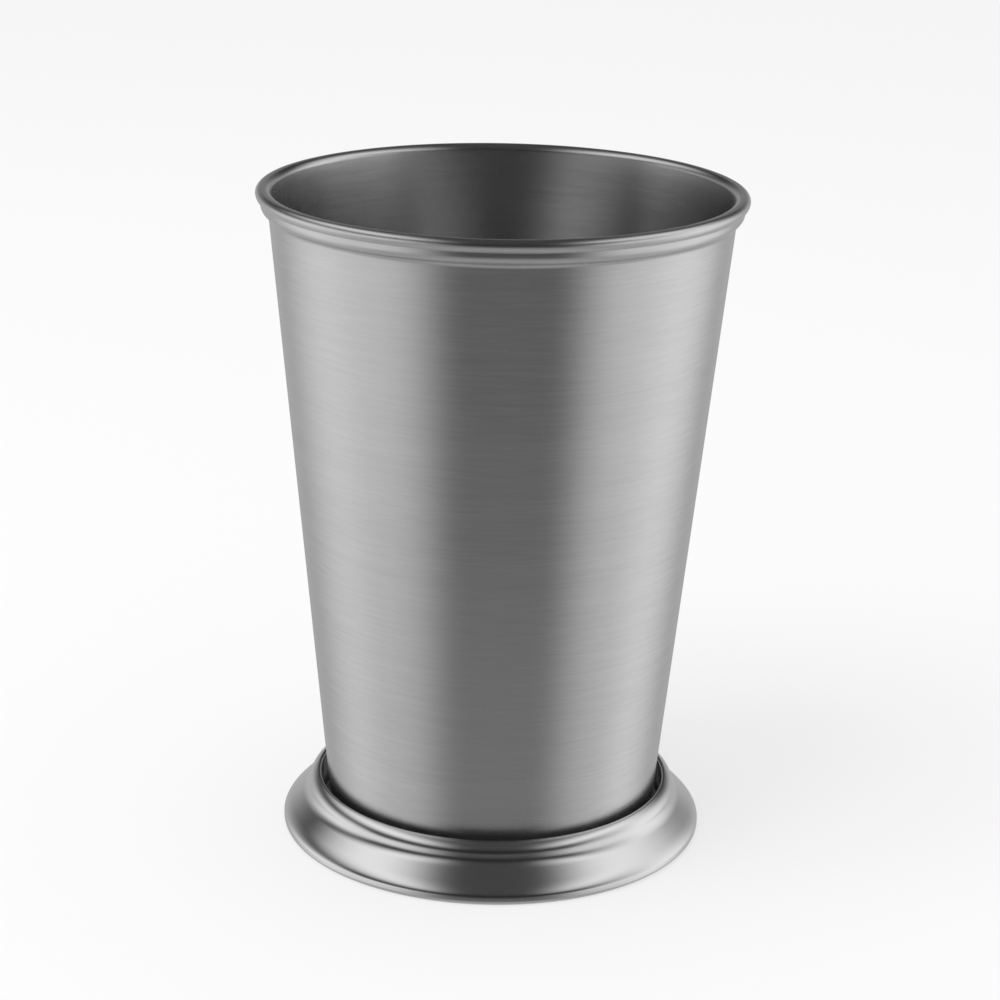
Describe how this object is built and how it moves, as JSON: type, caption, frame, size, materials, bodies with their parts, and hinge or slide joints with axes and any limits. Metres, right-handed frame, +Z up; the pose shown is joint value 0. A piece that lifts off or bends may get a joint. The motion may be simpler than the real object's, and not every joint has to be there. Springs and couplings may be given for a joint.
{
  "type": "julep cup",
  "caption": "Tapered brushed steel drinking cup with a folded lip over a stepped band, standing in a pressed moulded foot ring.",
  "frame": {"origin": "centre of the circle that the cup rests on, on the table", "axes": "+Z up through the mouth, along the cup's axis of symmetry"},
  "size_m": [0.0796, 0.0796, 0.11],
  "materials": {
    "body_steel": "fine brushing round the wall",
    "foot_steel": "satin, brighter than the body",
    "disc_steel": "mill finish",
    "weld_steel": "dull, slightly discoloured"
  },
  "bodies": {
    "root": {"body_shell": "body_steel", "foot_ring": "foot_steel", "base_disc": "disc_steel", "spot_welds": "weld_steel"}
  },
  "joints": []
}
